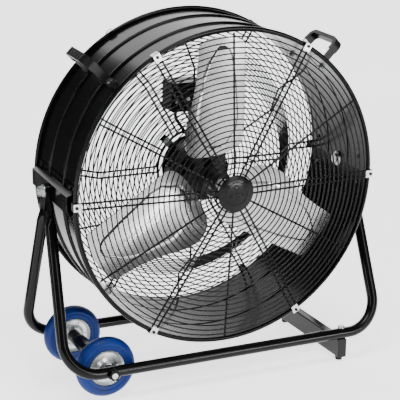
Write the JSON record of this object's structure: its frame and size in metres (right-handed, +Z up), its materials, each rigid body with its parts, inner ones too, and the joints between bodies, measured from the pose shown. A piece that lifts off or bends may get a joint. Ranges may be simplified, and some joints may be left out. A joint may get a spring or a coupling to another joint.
{
  "type": "drum fan",
  "caption": "Industrial drum fan: a short steel barrel with wire guards and a bladed rotor, tilting between bent tube frames on wheels and a foot bar.",
  "frame": {"origin": "on the floor, under the middle of the fan's whole depth and width", "axes": "+X to the foot bar's side, +Y to the back (air comes out towards -Y), +Z up"},
  "size_m": [0.7304, 0.3124, 0.7476],
  "materials": {
    "black_paint": "gloss",
    "guard_paint": "gloss",
    "motor_paint": "satin",
    "zinc_steel": "bright zinc",
    "blade_aluminium": "satin",
    "hub_paint": "satin",
    "blue_rubber": "matte",
    "black_rubber": "matte",
    "black_plastic": "fine grain",
    "badge_plastic": "gloss",
    "grey_plastic": "matte",
    "nylon": "matte",
    "plain_steel": "machined",
    "can_aluminium": "satin"
  },
  "bodies": {
    "stand": {"front_frame_tube": "black_paint", "rear_frame_tube": "black_paint", "foot_bar": "black_paint", "foot_bar_end_caps": "black_plastic", "foot_pads": "black_rubber", "foot_bar_bolts": "zinc_steel", "axle_rod": "zinc_steel", "axle_spacer_tube": "black_paint", "axle_washers": "zinc_steel", "axle_nuts": "black_paint"},
    "front_wheel": {"front_wheel_tyre": "blue_rubber", "front_wheel_rim": "zinc_steel", "front_wheel_bush": "nylon"},
    "rear_wheel": {"rear_wheel_tyre": "blue_rubber", "rear_wheel_rim": "zinc_steel", "rear_wheel_bush": "nylon"},
    "rotor": {"motor_shaft": "plain_steel", "motor_rotor_core": "plain_steel", "fan_hub": "hub_paint", "hub_nut": "zinc_steel", "fan_blade_1": "blade_aluminium", "fan_blade_2": "blade_aluminium", "fan_blade_3": "blade_aluminium", "blade_rivets": "blade_aluminium"},
    "switch_knob": {"switch_knob": "black_plastic"},
    "drum": {"box_screws": "zinc_steel", "bracket_rivets": "black_paint", "cable_gland": "grey_plastic", "capacitor": "can_aluminium", "clip_screws": "black_paint", "drum_shell": "black_paint", "front_guard_radials": "guard_paint", "front_guard_rings": "guard_paint", "guard_badge": "badge_plastic", "guard_clips": "zinc_steel", "handle_bolts": "zinc_steel", "left_handle_grip": "black_plastic", "left_handle_strap": "zinc_steel", "motor_bearings": "plain_steel", "motor_bracket": "black_paint", "motor_cover_screws": "zinc_steel", "motor_front_cover": "motor_paint", "motor_housing": "motor_paint", "motor_lead": "black_rubber", "motor_rear_cover": "motor_paint", "motor_stator": "plain_steel", "pivot_bolts": "zinc_steel", "pivot_brackets": "black_paint", "pivot_nuts": "zinc_steel", "pivot_washers": "zinc_steel", "rear_guard_radials": "guard_paint", "rear_guard_rings": "guard_paint", "right_handle_grip": "black_plastic", "right_handle_strap": "zinc_steel", "ring_clamp_bolts": "zinc_steel", "ring_clamps": "zinc_steel", "speed_switch": "grey_plastic", "switch_box": "black_plastic", "switch_box_clamp": "black_paint", "switch_box_lid": "black_plastic"}
  },
  "joints": [
    {"name": "drum_tilt", "type": "hinge", "parent": "stand", "child": "drum", "pos_m": [0, 0, 0.413], "axis": [1, 0, 0], "range_deg": [-40, 35]},
    {"name": "fan_spin", "type": "hinge", "parent": "drum", "child": "rotor", "pos_m": [0, 0, 0.413], "axis": [0, -0.9991, -0.0419], "continuous": true},
    {"name": "front_wheel_roll", "type": "hinge", "parent": "stand", "child": "front_wheel", "pos_m": [-0.262, -0.0985, 0.0625], "axis": [0, 1, 0], "continuous": true},
    {"name": "rear_wheel_roll", "type": "hinge", "parent": "stand", "child": "rear_wheel", "pos_m": [-0.262, 0.0985, 0.0625], "axis": [0, 1, 0], "continuous": true},
    {"name": "speed_knob_turn", "type": "hinge", "parent": "drum", "child": "switch_knob", "pos_m": [-0.002, 0.1087, 0.56569], "axis": [0, -0.9991, -0.0419], "range_deg": [0, 120]}
  ]
}
